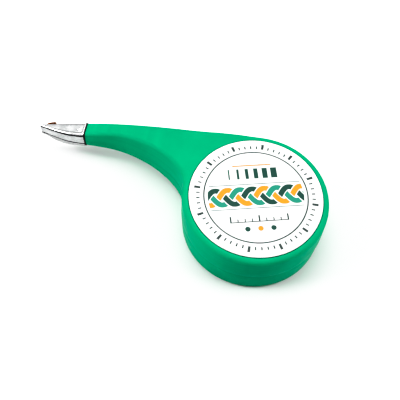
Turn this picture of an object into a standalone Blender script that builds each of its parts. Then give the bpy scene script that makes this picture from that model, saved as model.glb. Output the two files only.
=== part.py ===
"""Dispenser of desoldering braid: a flat round case with a tapering arm, a folded metal tip and the braid.

Frame: metres, +Z up. The origin is on the drum's axis at its flat underside, and the arm runs along -X.
"""
import math

import bmesh
import bpy
from mathutils import Vector

MM = 0.001

# Drum of the case
DRUM_RADIUS = 21.05 * MM
CASE_HEIGHT = 17.2 * MM
SEAM_HEIGHT = 8.5 * MM
SEAM_GAP = 0.3 * MM
DRAFT = math.radians(1.2)
TOP_FILLET = 1.5 * MM
BOTTOM_FILLET = 1.3 * MM
DRUM_WALL = 1.5 * MM
FLOOR = 1.5 * MM
DRUM_SEGMENTS = 80
FILLET_STEPS = 4
SHARP_ANGLE = math.radians(30)
MERGE_DISTANCE = 0.001 * MM

# Arm of the case, from the drum to the collar that holds the tip
ARM_REACH = 54.4 * MM
ARM_END_WIDTH = 5.3 * MM
ARM_STRAIGHT = 5.4 * MM
ARM_SWEEP_OUT = 15.0 * MM
ARM_SWEEP_IN = 7.0 * MM
ARM_TOP_DROP = 0.15 * MM
ARM_BOTTOM_LIFT = 1.3 * MM
ARM_END_RISE = 3.1 * MM
ARM_END_DEPTH = 2.7 * MM
ARM_FLAT = 12.0 * MM
ARM_WALL = 1.3 * MM
COLLAR_WALL = 0.75 * MM
ARM_FAR_INSET = 0.3 * MM
ROOT_SINK = 0.1 * MM
COLLAR_EDGE = 1.1 * MM
ROOT_EDGE_NEAR = 1.7 * MM
ROOT_EDGE_FAR = 2.6 * MM
ROOT_EDGE_LOW = 1.3 * MM
SWEEP_STEPS = 12
CHANNEL_FIRST_STEP = 3

# Label
LABEL_RADIUS = 19.0 * MM
LABEL_THICKNESS = 0.25 * MM
LABEL_PROUD = 0.15 * MM

# Clearance between pieces that seat in or on each other
CLEARANCE = 0.3 * MM

# Braid
BRAID_WIDTH = 1.5 * MM
BRAID_THICKNESS = 0.3 * MM
BRAID_LIFT = 0.45 * MM
COIL_HEIGHT = 4.8 * MM
COIL_DEPTH = 3.2 * MM
BEND_RADIUS = 0.6 * MM
BEND_ANGLE = math.radians(157)
BEND_BACK_FROM_TIP = 2.4 * MM
STUB_LENGTH = 2.4 * MM
BEND_STEPS = 8

# Tongue on the lower half that locates the upper half and closes the seam
TONGUE_WALL = 0.5 * MM
TONGUE_RISE = 1.3 * MM

# Ribs inside the drum that carry the coil
RIB_WALL = 1.2 * MM
HUB_OVER_COIL = 0.8 * MM
HUB_LAP = 2.0 * MM

# Folded metal tip
TIP_LENGTH = 14.7 * MM
SHEET = 0.3 * MM
TIP_BASE_HALF = 2.6 * MM
TIP_SWELL = (6.0 * MM, 3.3 * MM)
TIP_NARROWING = (5.7 * MM, 1.9 * MM)
TIP_NEAR_OFFSET = 0.45 * MM
TIP_WIDTH = 0.6 * MM
TIP_BASE_RISE = 2.95 * MM
TIP_NOSE_RISE = 1.85 * MM
TIP_SEAM_DROP = 1.0 * MM
TIP_BASE_DEPTH = 2.7 * MM
TIP_BELLY_DEPTH = 3.4 * MM
TIP_BELLY = 9.0 * MM
TIP_NOSE_DEPTH = 2.1 * MM
TANG_LENGTH = 6.0 * MM
TIP_STEPS = 10
END_MARGIN = 0.25
HALVINGS = 40

# Values that follow from those above
ARM_FAR_Y = DRUM_RADIUS - ARM_FAR_INSET
ARM_NEAR_Y = ARM_FAR_Y - ARM_END_WIDTH
ARM_AXIS_Y = ARM_FAR_Y - ARM_END_WIDTH / 2
ARM_ROOT_TOP = CASE_HEIGHT - ARM_TOP_DROP
ARM_END_TOP = SEAM_HEIGHT + ARM_END_RISE
ARM_END_BOTTOM = SEAM_HEIGHT - ARM_END_DEPTH
RECESS_DEPTH = LABEL_THICKNESS + CLEARANCE - LABEL_PROUD
RECESS_FLOOR = CASE_HEIGHT - RECESS_DEPTH
RIB_ROOT = FLOOR / 2
ROOF = RECESS_FLOOR - FLOOR
TIP_BACK_X = -ARM_REACH - CLEARANCE
TIP_END_X = TIP_BACK_X - TIP_LENGTH
TIP_SEAM = SEAM_HEIGHT - TIP_SEAM_DROP
TIP_WALL_X = TIP_BACK_X - SHEET
TIP_NEAR_Y = ARM_AXIS_Y - TIP_NEAR_OFFSET
BRAID_Y = TIP_NEAR_Y + SHEET + CLEARANCE + BRAID_THICKNESS / 2
BRAID_Z = SEAM_HEIGHT + BRAID_LIFT
BRAID_TOP = BRAID_Z + BRAID_WIDTH / 2
COIL_OUTER = BRAID_Y - BRAID_THICKNESS / 2 - CLEARANCE
COIL_INNER = COIL_OUTER - COIL_DEPTH
COIL_BOTTOM = BRAID_Z - COIL_HEIGHT / 2
COIL_TOP = BRAID_Z + COIL_HEIGHT / 2
HUB_OUTER = COIL_INNER - CLEARANCE
HUB_TOP = COIL_TOP + HUB_OVER_COIL
SEAT_MIDDLE = (COIL_INNER + COIL_OUTER) / 2
TANG_HALF = ARM_END_WIDTH / 2 - COLLAR_WALL - CLEARANCE
TANG_TOP = ARM_END_TOP - COLLAR_WALL - CLEARANCE
TANG_BOTTOM = ARM_END_BOTTOM + COLLAR_WALL + CLEARANCE

GREEN = (0.0, 0.45, 0.22)
WHITE = (0.9, 0.9, 0.88)
CHROME = (0.8, 0.8, 0.81)
COPPER = (0.62, 0.28, 0.12)


def clear_scene():
    for old in list(bpy.data.objects):
        bpy.data.objects.remove(old, do_unlink=True)


def make_material(name, colour, roughness, metallic):
    material = bpy.data.materials.new(name)
    material.use_nodes = True
    shader = material.node_tree.nodes["Principled BSDF"]
    shader.inputs["Base Color"].default_value = (*colour, 1.0)
    shader.inputs["Roughness"].default_value = roughness
    shader.inputs["Metallic"].default_value = metallic
    return material


def add_object(name, shape, material=None):
    """Turn a bmesh into a named object; a piece gets a material, a helper gets none."""
    bmesh.ops.recalc_face_normals(shape, faces=shape.faces)
    mesh = bpy.data.meshes.new(name)
    shape.to_mesh(mesh)
    shape.free()
    piece = bpy.data.objects.new(name, mesh)
    bpy.context.scene.collection.objects.link(piece)
    if material:
        mesh.materials.append(material)
        mesh.shade_smooth()
        mesh.set_sharp_from_angle(angle=SHARP_ANGLE)
    else:
        piece.hide_render = True
        piece.display_type = "WIRE"
    return piece


def combine(piece, operation, helper):
    step = piece.modifiers.new(f"{operation.lower()}_{helper.name}", "BOOLEAN")
    step.operation = operation
    step.solver = "EXACT"
    step.object = helper


def arc(centre, radius, start, end, steps):
    """Points of an arc in a plane, angles in degrees."""
    points = []
    for step in range(steps + 1):
        angle = math.radians(start + (end - start) * step / steps)
        points.append((centre[0] + radius * math.cos(angle), centre[1] + radius * math.sin(angle)))
    return points


def between(start, end, share):
    return start + (end - start) * share


def bezier(p0, p1, p2, p3, t):
    """Point and direction of a cubic curve in a plane."""
    a, b, c, d = (Vector(p) for p in (p0, p1, p2, p3))
    s = 1 - t
    point = a * s**3 + b * 3 * s * s * t + c * 3 * s * t * t + d * t**3
    slope = (b - a) * s * s + (c - b) * 2 * s * t + (d - c) * t * t
    return point, slope.normalized()


def turned(profile, closed):
    """Solid of revolution about Z; the profile is a list of (radius, height)."""
    shape = bmesh.new()
    corners = [shape.verts.new((radius, 0.0, height)) for radius, height in profile]
    edges = [shape.edges.new(pair) for pair in zip(corners, corners[1:])]
    if closed:
        edges.append(shape.edges.new((corners[-1], corners[0])))
    bmesh.ops.spin(
        shape,
        geom=corners + edges,
        cent=(0.0, 0.0, 0.0),
        axis=(0.0, 0.0, 1.0),
        angle=math.tau,
        steps=DRUM_SEGMENTS,
        use_duplicate=False,
    )
    bmesh.ops.remove_doubles(shape, verts=shape.verts, dist=MERGE_DISTANCE)
    return shape


def lofted(sections):
    """Closed solid through sections that lie across X, each a list of (x, y, z) with as many points."""
    shape = bmesh.new()
    rings = [[shape.verts.new(point) for point in section] for section in sections]
    for ring, following in zip(rings, rings[1:]):
        for i in range(len(ring)):
            k = (i + 1) % len(ring)
            shape.faces.new((ring[i], ring[k], following[k], following[i]))
    shape.faces.new(rings[0])
    shape.faces.new(rings[-1])
    return shape


def box_section(x, y_low, y_high, z_low, z_high):
    return [(x, y_low, z_low), (x, y_high, z_low), (x, y_high, z_high), (x, y_low, z_high)]


def block(x_low, x_high, y_low, y_high, z_low, z_high):
    return lofted([box_section(x, y_low, y_high, z_low, z_high) for x in (x_low, x_high)])


def ring_wall(outer, z_low, z_high):
    """Ring rib of the usual rib wall, standing on the drum's axis."""
    inner = outer - RIB_WALL
    return turned([(outer, z_high), (outer, z_low), (inner, z_low), (inner, z_high)], closed=True)


def drum_outer():
    """Whole drum: both walls lean in from the seam by the draft, with rounded top and bottom edges."""
    top_radius = DRUM_RADIUS - (CASE_HEIGHT - SEAM_HEIGHT) * math.tan(DRAFT)
    low_radius = DRUM_RADIUS - SEAM_HEIGHT * math.tan(DRAFT)
    top = arc((top_radius - TOP_FILLET, CASE_HEIGHT - TOP_FILLET), TOP_FILLET, 90, 0, FILLET_STEPS)
    low = arc((low_radius - BOTTOM_FILLET, BOTTOM_FILLET), BOTTOM_FILLET, 0, -90, FILLET_STEPS)
    profile = [(0.0, CASE_HEIGHT), *top, (DRUM_RADIUS, SEAM_HEIGHT), *low, (0.0, 0.0)]
    return turned(profile, closed=False)


def near_wall(t):
    """Point and direction, in plan, of the arm's near wall from the straight end to the drum."""
    start = (-ARM_REACH + ARM_STRAIGHT, ARM_NEAR_Y)
    end = (-DRUM_RADIUS + ROOT_SINK, 0.0)
    out = (start[0] + ARM_SWEEP_OUT, start[1])
    back = (end[0], end[1] + ARM_SWEEP_IN)
    return bezier(start, out, back, end, t)


def arm_top(x):
    """The arm's top is level beside the drum and falls in a long curve to the collar."""
    share = max(0.0, (-x - ARM_FLAT) / (ARM_REACH - ARM_FLAT))
    return ARM_ROOT_TOP - (ARM_ROOT_TOP - ARM_END_TOP) * share**2


def arm_bottom(x):
    """The arm's underside rises off the floor from the drum and is level at the collar."""
    share = min(1.0, (ARM_REACH + x) / (ARM_REACH - DRUM_RADIUS))
    return ARM_END_BOTTOM - (ARM_END_BOTTOM - ARM_BOTTOM_LIFT) * share**2


def arm_section(x, y_near):
    """Rounded section of the arm: walls lean in from the seam, and the edges grow rounder to the drum."""
    top = arm_top(x)
    bottom = arm_bottom(x)
    lean_top = (top - SEAM_HEIGHT) * math.tan(DRAFT)
    lean_low = (SEAM_HEIGHT - bottom) * math.tan(DRAFT)
    share = min(1.0, (ARM_REACH + x) / (ARM_REACH - DRUM_RADIUS))
    near = between(COLLAR_EDGE, ROOT_EDGE_NEAR, share)
    far = between(COLLAR_EDGE, ROOT_EDGE_FAR, share)
    low = between(COLLAR_EDGE, ROOT_EDGE_LOW, share)
    outline = [(y_near, SEAM_HEIGHT)]
    outline += arc((y_near + lean_low + low, bottom + low), low, 180, 270, FILLET_STEPS)
    outline += arc((ARM_FAR_Y - lean_low - low, bottom + low), low, 270, 360, FILLET_STEPS)
    outline.append((ARM_FAR_Y, SEAM_HEIGHT))
    outline += arc((ARM_FAR_Y - lean_top - far, top - far), far, 0, 90, FILLET_STEPS)
    outline += arc((y_near + lean_top + near, top - near), near, 90, 180, FILLET_STEPS)
    return [(x, y, z) for y, z in outline]


def arm_outer():
    sections = [arm_section(-ARM_REACH, ARM_NEAR_Y)]
    for step in range(SWEEP_STEPS + 1):
        point, _ = near_wall(step / SWEEP_STEPS)
        sections.append(arm_section(point.x, point.y))
    sections.append(arm_section(0.0, 0.0))
    return lofted(sections)


def drum_cavity():
    radius = DRUM_RADIUS - DRUM_WALL
    return turned([(0.0, ROOF), (radius, ROOF), (radius, FLOOR), (0.0, FLOOR)], closed=False)


def arm_cavity():
    """Room for the braid through the arm, open into the drum, narrowed at the collar to hold the tip."""
    low = TANG_BOTTOM - CLEARANCE
    high = TANG_TOP + CLEARANCE
    half = TANG_HALF + CLEARANCE
    sections = [
        box_section(x, ARM_AXIS_Y - half, ARM_AXIS_Y + half, low, high)
        for x in (-ARM_REACH - ARM_WALL, -ARM_REACH + TANG_LENGTH)
    ]
    for step in range(CHANNEL_FIRST_STEP, SWEEP_STEPS + 1):
        point, slope = near_wall(step / SWEEP_STEPS)
        inner = point + Vector((-slope.y, slope.x)) * ARM_WALL
        floor = arm_bottom(point.x) + ARM_WALL
        roof = arm_top(point.x) - ARM_WALL
        sections.append(box_section(inner.x, inner.y, ARM_FAR_Y - ARM_WALL, floor, roof))
    floor = ARM_BOTTOM_LIFT + ARM_WALL
    roof = ARM_ROOT_TOP - ARM_WALL
    sections.append(box_section(0.0, 0.0, ARM_FAR_Y - ARM_WALL, floor, roof))
    return lofted(sections)


def tongue_ring(grow, rise):
    """Ring inside the drum's seam: the tongue itself, or with a clearance the rebate that takes it."""
    inner = DRUM_RADIUS - DRUM_WALL
    outer = inner + TONGUE_WALL + grow
    low = SEAM_HEIGHT - SEAM_GAP / 2 - RIB_ROOT
    high = SEAM_HEIGHT - SEAM_GAP / 2 + TONGUE_RISE + rise
    inner -= grow
    return turned([(outer, high), (outer, low), (inner, low), (inner, high)], closed=True)


def label_recess():
    radius = LABEL_RADIUS + CLEARANCE
    above = CASE_HEIGHT + FLOOR
    return turned([(0.0, above), (radius, above), (radius, RECESS_FLOOR), (0.0, RECESS_FLOOR)], closed=False)


def half_space(z_low, z_high):
    """Box that covers the whole case between two heights."""
    side = DRUM_RADIUS * 2
    return block(-ARM_REACH * 2, side, -side, side, z_low, z_high)


def make_case(green):
    arm = add_object("helper_arm", arm_outer())
    room = add_object("helper_drum_room", drum_cavity())
    channel = add_object("helper_arm_room", arm_cavity())
    recess = add_object("helper_label_recess", label_recess())
    above = add_object("helper_above", half_space(SEAM_HEIGHT - SEAM_GAP / 2, CASE_HEIGHT * 2))
    below = add_object("helper_below", half_space(-CASE_HEIGHT, SEAM_HEIGHT + SEAM_GAP / 2))
    tongue = add_object("helper_tongue", tongue_ring(0.0, 0.0))
    rebate = add_object("helper_rebate", tongue_ring(CLEARANCE, CLEARANCE))
    hub = add_object("helper_hub", ring_wall(HUB_OUTER, FLOOR - RIB_ROOT, HUB_TOP))
    seat_outer = SEAT_MIDDLE + RIB_WALL / 2
    seat = add_object("helper_seat", ring_wall(seat_outer, FLOOR - RIB_ROOT, COIL_BOTTOM - CLEARANCE))
    keeper = add_object("helper_keeper", ring_wall(seat_outer, COIL_TOP + CLEARANCE, ROOF + RIB_ROOT))
    spigot_outer = HUB_OUTER - RIB_WALL - CLEARANCE
    spigot = add_object("helper_spigot", ring_wall(spigot_outer, HUB_TOP - HUB_LAP, ROOF + RIB_ROOT))

    lower = add_object("case_lower", drum_outer(), green)
    for operation, helper in (
        ("UNION", arm), ("DIFFERENCE", room), ("DIFFERENCE", above), ("UNION", tongue),
        ("DIFFERENCE", channel), ("UNION", hub), ("UNION", seat),
    ):
        combine(lower, operation, helper)

    upper = add_object("case_upper", drum_outer(), green)
    for operation, helper in (
        ("UNION", arm), ("DIFFERENCE", room), ("DIFFERENCE", channel), ("DIFFERENCE", recess),
        ("DIFFERENCE", below), ("DIFFERENCE", rebate), ("UNION", keeper), ("UNION", spigot),
    ):
        combine(upper, operation, helper)


def make_label(white):
    bottom = RECESS_FLOOR + CLEARANCE
    top = bottom + LABEL_THICKNESS
    profile = [(0.0, top), (LABEL_RADIUS, top), (LABEL_RADIUS, bottom), (0.0, bottom)]
    add_object("label", turned(profile, closed=False), white)


def tip_near_edge(x):
    """Near edge of the tip in plan: it swells a little past the collar, then narrows to the nose.

    The place on the curve that lies at x is found by halving.
    """
    start = (TIP_BACK_X, ARM_AXIS_Y - TIP_BASE_HALF)
    swell = (TIP_BACK_X - TIP_SWELL[0], ARM_AXIS_Y - TIP_SWELL[1])
    narrowing = (TIP_END_X + TIP_NARROWING[0], ARM_AXIS_Y - TIP_NARROWING[1])
    low, high = 0.0, 1.0
    for _ in range(HALVINGS):
        middle = (low + high) / 2
        if bezier(start, swell, narrowing, (TIP_END_X, TIP_NEAR_Y), middle)[0].x > x:
            low = middle
        else:
            high = middle
    return bezier(start, swell, narrowing, (TIP_END_X, TIP_NEAR_Y), low)[0].y


def tip_share(x):
    return (TIP_BACK_X - x) / TIP_LENGTH


def tip_far_edge(x):
    """The far edge of the tip is straight from the collar to the nose."""
    return between(ARM_AXIS_Y + TIP_BASE_HALF, TIP_NEAR_Y + TIP_WIDTH, tip_share(x))


def tip_top(x):
    return SEAM_HEIGHT + between(TIP_BASE_RISE, TIP_NOSE_RISE, tip_share(x))


def tip_bottom(x):
    """The tray's underside sinks to a low belly and then rises to the nose."""
    along = TIP_BACK_X - x
    if along < TIP_BELLY:
        return SEAM_HEIGHT - between(TIP_BASE_DEPTH, TIP_BELLY_DEPTH, along / TIP_BELLY)
    share = (along - TIP_BELLY) / (TIP_LENGTH - TIP_BELLY)
    return SEAM_HEIGHT - between(TIP_BELLY_DEPTH, TIP_NOSE_DEPTH, share)


def tip_stations(back, front):
    """Places along the tip from back to front: both ends, even steps between them, and the belly."""
    steps = [between(TIP_BACK_X, TIP_END_X, step / TIP_STEPS) for step in range(TIP_STEPS + 1)]
    margin = TIP_LENGTH / TIP_STEPS * END_MARGIN
    inside = [x for x in (*steps, TIP_BACK_X - TIP_BELLY) if front + margin < x < back - margin]
    return [back, *sorted(inside, reverse=True), front]


def tip_shell(bottom, top, inset, back, front):
    """Solid between the tip's two edges, drawn in by an inset; bottom and top are functions of x."""
    sections = []
    for x in tip_stations(back, front):
        near = tip_near_edge(x) + inset
        sections.append(box_section(x, near, tip_far_edge(x) - inset, bottom(x), top(x)))
    return lofted(sections)


def cover_room():
    """Room inside the cover: walled on both sides, then open at the far side and the nose for the braid."""
    low = TIP_SEAM - SHEET
    walled = mouth_back_x()
    places = [(x, tip_far_edge(x) - SHEET) for x in tip_stations(TIP_WALL_X, walled)]
    places += [(x, ARM_FAR_Y) for x in tip_stations(walled - SHEET, TIP_END_X)]
    sections = []
    for x, far in places:
        sections.append(box_section(x, tip_near_edge(x) + SHEET, far, low, tip_top(x) - SHEET))
    past = TIP_END_X - SHEET
    sections.append(box_section(past, TIP_NEAR_Y + SHEET, ARM_FAR_Y, low, tip_top(past) - SHEET))
    return lofted(sections)


def mouth_back_x():
    """Where the mouth begins: past it the tip is too narrow for a far wall beside the braid."""
    far_room = BRAID_Y + BRAID_THICKNESS / 2 + CLEARANCE + SHEET
    base_edge = tip_far_edge(TIP_BACK_X)
    open_share = (base_edge - far_room) / (base_edge - tip_far_edge(TIP_END_X))
    return TIP_BACK_X - TIP_LENGTH * open_share


def make_cover(chrome):
    """Upper half of the tip: hollow sheet with the mouth beside its nose and a hollow tang."""
    low = TIP_SEAM + SEAM_GAP / 2
    tang_back = -ARM_REACH + TANG_LENGTH - CLEARANCE
    near = ARM_AXIS_Y - TANG_HALF
    far = ARM_AXIS_Y + TANG_HALF

    outside = tip_shell(lambda x: low, tip_top, 0.0, TIP_BACK_X, TIP_END_X)
    bore = block(
        TIP_WALL_X - SHEET, tang_back + SHEET, near + SHEET, far - SHEET, low - SHEET, TANG_TOP - SHEET
    )
    cover = add_object("nozzle_upper", outside, chrome)
    room = add_object("helper_cover_room", cover_room())
    tang = add_object("helper_cover_tang", block(TIP_WALL_X, tang_back, near, far, low, TANG_TOP))
    tang_room = add_object("helper_tang_bore", bore)
    for operation, helper in (
        ("DIFFERENCE", room), ("UNION", tang), ("DIFFERENCE", tang_room),
    ):
        combine(cover, operation, helper)


def make_tray(chrome):
    """Lower half of the tip: a shallow tray with a flat tang."""
    high = TIP_SEAM - SEAM_GAP / 2
    tang_back = -ARM_REACH + TANG_LENGTH - CLEARANCE
    near = ARM_AXIS_Y - TANG_HALF
    far = ARM_AXIS_Y + TANG_HALF

    outside = tip_shell(tip_bottom, lambda x: high, 0.0, TIP_BACK_X, TIP_END_X)
    inside = tip_shell(
        lambda x: tip_bottom(x) + SHEET, lambda x: TIP_SEAM + SHEET, SHEET, TIP_WALL_X, mouth_back_x()
    )
    tray = add_object("nozzle_lower", outside, chrome)
    hollow = add_object("helper_tray_room", inside)
    plate = add_object("helper_tray_tang", block(TIP_WALL_X, tang_back, near, far, TANG_BOTTOM, high))
    combine(tray, "DIFFERENCE", hollow)
    combine(tray, "UNION", plate)


def braid_line():
    """Plan of the braid from the coil through the tip: straight, then bent back beside the nose."""
    bend_x = TIP_END_X + BEND_BACK_FROM_TIP
    centre = Vector((bend_x, BRAID_Y + BEND_RADIUS))
    line = [(Vector((0.0, BRAID_Y)), Vector((-1.0, 0.0)))]
    for step in range(BEND_STEPS + 1):
        turn = BEND_ANGLE * step / BEND_STEPS
        spot = centre + Vector((-math.sin(turn), -math.cos(turn))) * BEND_RADIUS
        line.append((spot, Vector((-math.cos(turn), math.sin(turn)))))
    spot, heading = line[-1]
    line.append((spot + heading * STUB_LENGTH, heading))
    return line


def make_braid(copper):
    outer = [(COIL_OUTER, COIL_TOP), (COIL_OUTER, COIL_BOTTOM)]
    inner = [(COIL_INNER, COIL_BOTTOM), (COIL_INNER, COIL_TOP)]
    add_object("braid_coil", turned(outer + inner, closed=True), copper)

    half = BRAID_THICKNESS / 2
    low = BRAID_Z - BRAID_WIDTH / 2
    sections = []
    for spot, heading in braid_line():
        side = Vector((-heading.y, heading.x)) * half
        near = spot + side
        far = spot - side
        sections.append([(*near, low), (*far, low), (*far, BRAID_TOP), (*near, BRAID_TOP)])
    add_object("braid_run", lofted(sections), copper)


def main():
    clear_scene()
    make_case(make_material("green_plastic", GREEN, 0.35, 0.0))
    make_label(make_material("white_paper", WHITE, 0.6, 0.0))
    chrome = make_material("chromed_sheet", CHROME, 0.12, 1.0)
    make_cover(chrome)
    make_tray(chrome)
    make_braid(make_material("copper_braid", COPPER, 0.4, 1.0))


main()
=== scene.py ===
"""Looks of the braid dispenser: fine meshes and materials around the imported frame, with camera and studio."""

import math

import bmesh
import bpy
import numpy as np
from mathutils import Matrix, Vector
from mathutils.geometry import delaunay_2d_cdt


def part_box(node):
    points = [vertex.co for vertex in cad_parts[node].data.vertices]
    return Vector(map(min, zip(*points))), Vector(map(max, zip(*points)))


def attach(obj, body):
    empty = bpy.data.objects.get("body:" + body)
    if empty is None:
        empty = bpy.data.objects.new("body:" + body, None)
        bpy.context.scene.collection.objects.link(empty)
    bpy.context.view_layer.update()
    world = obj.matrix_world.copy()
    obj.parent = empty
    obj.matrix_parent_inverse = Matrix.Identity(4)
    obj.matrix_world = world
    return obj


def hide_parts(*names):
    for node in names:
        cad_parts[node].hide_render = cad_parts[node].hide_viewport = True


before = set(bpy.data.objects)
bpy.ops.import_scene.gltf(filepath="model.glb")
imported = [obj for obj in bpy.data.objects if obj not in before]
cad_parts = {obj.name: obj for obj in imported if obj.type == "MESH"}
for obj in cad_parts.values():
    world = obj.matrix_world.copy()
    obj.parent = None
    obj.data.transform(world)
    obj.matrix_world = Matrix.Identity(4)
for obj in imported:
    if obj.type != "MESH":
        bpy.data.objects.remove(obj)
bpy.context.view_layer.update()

# All sizes below are in millimetres; meshes are scaled to metres when they are made.
MM = 0.001
WELD = 0.001
CLEARANCE = 0.3


def corners(node):
    low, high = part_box(node)
    return low / MM, high / MM


UPPER_LOW, UPPER_HIGH = corners("case_upper")
_, LABEL_HIGH = corners("label")
TRAY_LOW, _ = corners("nozzle_lower")
COIL_LOW, COIL_HIGH = corners("braid_coil")
RUN_LOW, RUN_HIGH = corners("braid_run")

# Case: the first sizes are read from the frame
DRUM_RADIUS = UPPER_HIGH.x
CASE_TOP = UPPER_HIGH.z
ARM_END_X = UPPER_LOW.x
SEAM = UPPER_LOW.z - CLEARANCE / 2
SEAM_GAP = 0.09
SEAM_ROUND = 0.02
SEAM_STEP = 0.1
DRAFT = math.tan(math.radians(1.2))
ARM_DRAFT = math.tan(math.radians(6.0))
ARM_FAR_INSET = 0.3
ARM_END_WIDTH = 5.3
ARM_FAR_Y = DRUM_RADIUS - ARM_FAR_INSET
ARM_NEAR_Y = ARM_FAR_Y - ARM_END_WIDTH
ARM_AXIS_Y = (ARM_FAR_Y + ARM_NEAR_Y) / 2
ARM_STRAIGHT = 5.4
ARM_SWEEP_OUT = 15.0
ARM_SWEEP_IN = 7.0
ARM_FLAT = 12.0
ARM_END_TOP = SEAM + 3.1
ARM_END_BOTTOM = SEAM - 2.7
ARM_LIFT = 1.3
COLLAR_EDGE = 1.1
DRUM_EDGE_TOP = 1.35
DRUM_EDGE_LOW = 1.3
FAR_EDGE = 2.6
DRUM_WALL = 1.5
COLLAR_WALL = 0.75
SHARP = math.radians(32)

# Share of a small round corner's radius at which its middle point lies
CORNER_MIDDLE = 0.3

# Stretches over which a size or a height changes: from the drum's edge outward, from the collar, or along X
TOP_EASE = (-1.4, 2.0)
UNDERSIDE_EASE = (-1.0, 1.8)
WALL_EASE = (3.0, 20.0)
DRAFT_EASE = (-45.0, -26.0)
FAR_EDGE_END_X = -7.0

# Fineness of the case's meshes
COLLAR_STEPS = 12
SWEEP_STEPS = 90
ROUND_STEPS = 216
FAR_STEPS = 109
EDGE_STEPS = 8
WALL_STEPS = 3
END_STEPS = 6
LINING_END_STEPS = 3
RECESS_STEPS = 4
RIB_STEPS = 96
DRUM_STEPS = 240
FILL_STEP = 0.6
LINING_STEP = 2.0
FILL_MARGIN = 0.45
FILL_MERGE = 1e-5

# Label and its recess
LABEL_RADIUS = LABEL_HIGH.x - 0.02
LABEL_TOP = LABEL_HIGH.z - 0.05
LABEL_THICKNESS = 0.35
LABEL_SOFT = 0.06
LABEL_RING = 6.0
RECESS_RADIUS = LABEL_RADIUS + 0.22
RECESS_FLOOR = LABEL_TOP - LABEL_THICKNESS - 0.02
RECESS_GROOVE = 0.6
RECESS_EDGE = 0.15
ROOF = RECESS_FLOOR - 1.5
FLOOR = 1.5

# Ribs inside the drum that carry the coil
RIB_WALL = 1.2
RIB_ROOT = 0.3
HUB_LAP = 2.0
COIL_OUTER = COIL_HIGH.x
COIL_DEPTH = 3.2
COIL_INNER = COIL_OUTER - COIL_DEPTH
HUB_OUTER = COIL_INNER - CLEARANCE
HUB_TOP = COIL_HIGH.z + 0.8

# Metal tip
TIP_LENGTH = 14.7
TIP_END_X = TRAY_LOW.x
TIP_BACK_X = TIP_END_X + TIP_LENGTH
TIP_BASE_HALF = 2.6
TIP_SWELL = (6.0, 3.1)
TIP_NARROWING = (5.7, 1.9)
TIP_NEAR_Y = ARM_AXIS_Y - 0.45
TIP_WIDTH = 0.6
TIP_BASE_RISE = 2.95
TIP_NOSE_RISE = 1.85
TIP_SEAM = SEAM - 1.2
TIP_GAP = 0.36
TIP_BASE_DEPTH = 2.7
TIP_BELLY_DEPTH = 3.4
TIP_BELLY = 9.0
TIP_NOSE_DEPTH = 2.35
SHEET = 0.3
TIP_STEPS = 120
HALVINGS = 40
PLATE_STEPS = 40
RIM_STEPS = 8
CORNER_STEPS = 6
MOUTH_BACK_X = TIP_BACK_X - 9.3
MOUTH_EASE = 0.8
NECK = 0.3
NECK_LAP = 0.1
NECK_GAP = 0.04
NECK_INSET = 0.25
TONGUE_REACH = 5.7

# Cover of the tip. Pairs are sizes at the collar and the nose; DISH_START is a stretch and DIMPLE a place
DISH = (0.22, 0.06)
DISH_SHARE = 0.16
DISH_START = (0.15, 0.8)
FAR_FALL = (0.3, 0.1)
FAR_FALL_SHARE = 0.8
RIM_HIGH = (0.3, 0.26)
RIM_WIDE = (0.56, 0.26)
RIM_STEP = (0.46, 0.24)
CREASE = (0.36, 0.2)
CREASE_START = 0.08
CREASE_DEPTH = 0.25
CHAMFER = 0.06
DIMPLE = (TIP_BACK_X - 2.1, ARM_AXIS_Y - 0.4)
DIMPLE_RADIUS = 0.55
DIMPLE_DEPTH = 0.32
DIMPLE_FLAT = 0.35
DIMPLE_LIP = 0.06
DIMPLE_LIP_SPAN = (0.9, 1.15, 1.6)
WAVE_HIGH = 0.035
WAVE_TURN = 1.3
WAVE_START = 0.4
WAVE_SHARE = 0.25
BEAD_HIGH = 0.1
BEAD_HALF = 0.28

# Tray of the tip
TRAY_PROUD = 0.08
TRAY_INSET = 0.05
TRAY_CORNER = 0.5
TRAY_NEAR_WALL = 0.54
TRAY_FAR_WALL = 0.52
TRAY_CLOSING = 1.5
LIP_HIGH = 0.7
LIP_FADE = (0.55, 0.85)
LIP_NEAR = 0.42
LIP_FAR = 0.4
HAIR = 0.01

# Material slots of the tip: plate plating, near-black painted shade, painted highlight, and wall plating
# painted darker as shade
CHROME, PAINTED_SHADE, PAINTED_HIGHLIGHT, WALL = range(4)

# Points of the cover's section at which its crease and its rim begin
CREASE_FIRST = 2
RIM_FIRST = 5

# Braid
BRAID_WIDTH = 1.5
BRAID_THICKNESS = 0.3
BRAID_Y = TIP_NEAR_Y + SHEET + CLEARANCE + BRAID_THICKNESS / 2
BRAID_Z = (RUN_LOW.z + RUN_HIGH.z) / 2
BEND_RADIUS = 0.6
BEND_ANGLE = math.radians(157)
BEND_X = TIP_END_X + 2.4
STUB_LENGTH = 2.4
CARRIERS = 6
STRAND_WIDTH = 0.34
STRAND_HALF = 0.036
STRAND_FRAY = 0.35
FRAY_TURN = 2.3
WEAVE = 0.036
CORE = BRAID_THICKNESS / 2 - STRAND_HALF - WEAVE
FLAT = BRAID_WIDTH - 2 * (CORE + WEAVE + STRAND_HALF)
GIRTH = 2 * FLAT + math.tau * CORE
LAY = math.tan(math.radians(40))
BRAID_STEP = 0.15
COURSE_STEP = 0.02
COIL_TURNS = 10
COIL_LANES = 3
COIL_GROOVE = 0.06
COIL_STEPS = 160
GROOVE_STEPS = 4
LANE_SHARPNESS = 6
TURN_SHARPNESS = 2
COIL_STITCHES = 48.0
STITCH_RISE = 9.0

# Section of a strand of three wires, in half widths across and half thicknesses up
STRAND_SECTION = ((-1, 0), (-0.67, 1), (-0.33, 0.55), (0, 1), (0.33, 0.55), (0.67, 1), (1, 0), (0, -1))

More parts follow.
